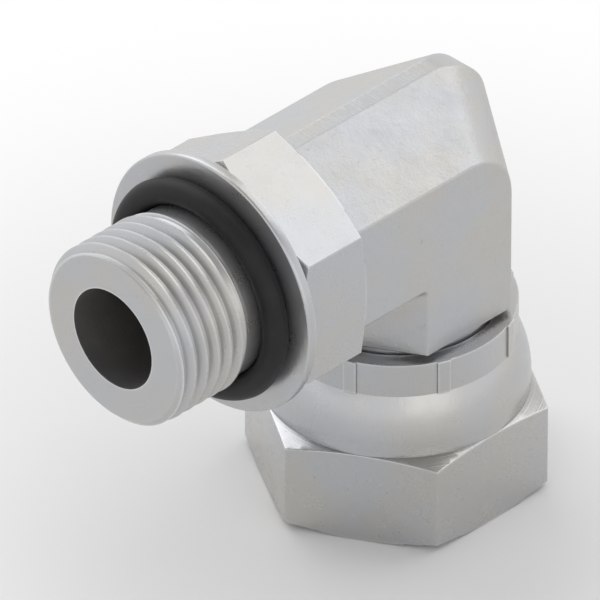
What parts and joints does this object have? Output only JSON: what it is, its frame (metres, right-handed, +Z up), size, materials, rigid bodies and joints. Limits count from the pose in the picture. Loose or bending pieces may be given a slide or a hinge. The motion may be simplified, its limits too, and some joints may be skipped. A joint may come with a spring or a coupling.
{
  "type": "hydraulic elbow",
  "caption": "Right-angle hydraulic adapter: hexagonal forged elbow with a drilled passage, an adjustable threaded stud with locknut, washer and O-ring, and a crimped female swivel nut.",
  "frame": {"origin": "centre of the swivel nut's foot, on the swivel axis", "axes": "+Z up the swivel axis, away from the nut's mouth; +X out along the threaded stud; +Y completes a right-handed frame"},
  "size_m": [0.0539, 0.0272, 0.0479],
  "materials": {
    "elbow_plating": "bright zinc plating over forged and turned steel",
    "locknut_plating": "bright zinc plating over turned hexagon bar",
    "washer_plating": "bright zinc plating over stamped steel",
    "seal_rubber": "moulded nitrile rubber",
    "swivel_nut_plating": "bright zinc plating over turned hexagon bar"
  },
  "bodies": {
    "elbow": {"elbow_body": "elbow_plating"},
    "swivel": {"swivel_nut": "swivel_nut_plating"},
    "seal": {"backup_washer": "washer_plating", "o_ring": "seal_rubber"},
    "locknut": {"locknut": "locknut_plating"}
  },
  "joints": [
    {"name": "nut_swivel", "type": "hinge", "parent": "elbow", "child": "swivel", "pos_m": [0, 0, 0.01], "axis": [0, 0, 1], "continuous": true},
    {"name": "seal_slide", "type": "slide", "parent": "elbow", "child": "seal", "axis": [1, 0, 0], "range_m": [0, 0.0017]},
    {"name": "locknut_turn", "type": "hinge", "parent": "seal", "child": "locknut", "pos_m": [0.0202, 0, 0.0343], "axis": [1, 0, 0], "range_deg": [0, 385]}
  ],
  "couplings": [
    {"joint": "seal_slide", "follows": "locknut_turn", "m_per_rad": 0.00025266}
  ]
}
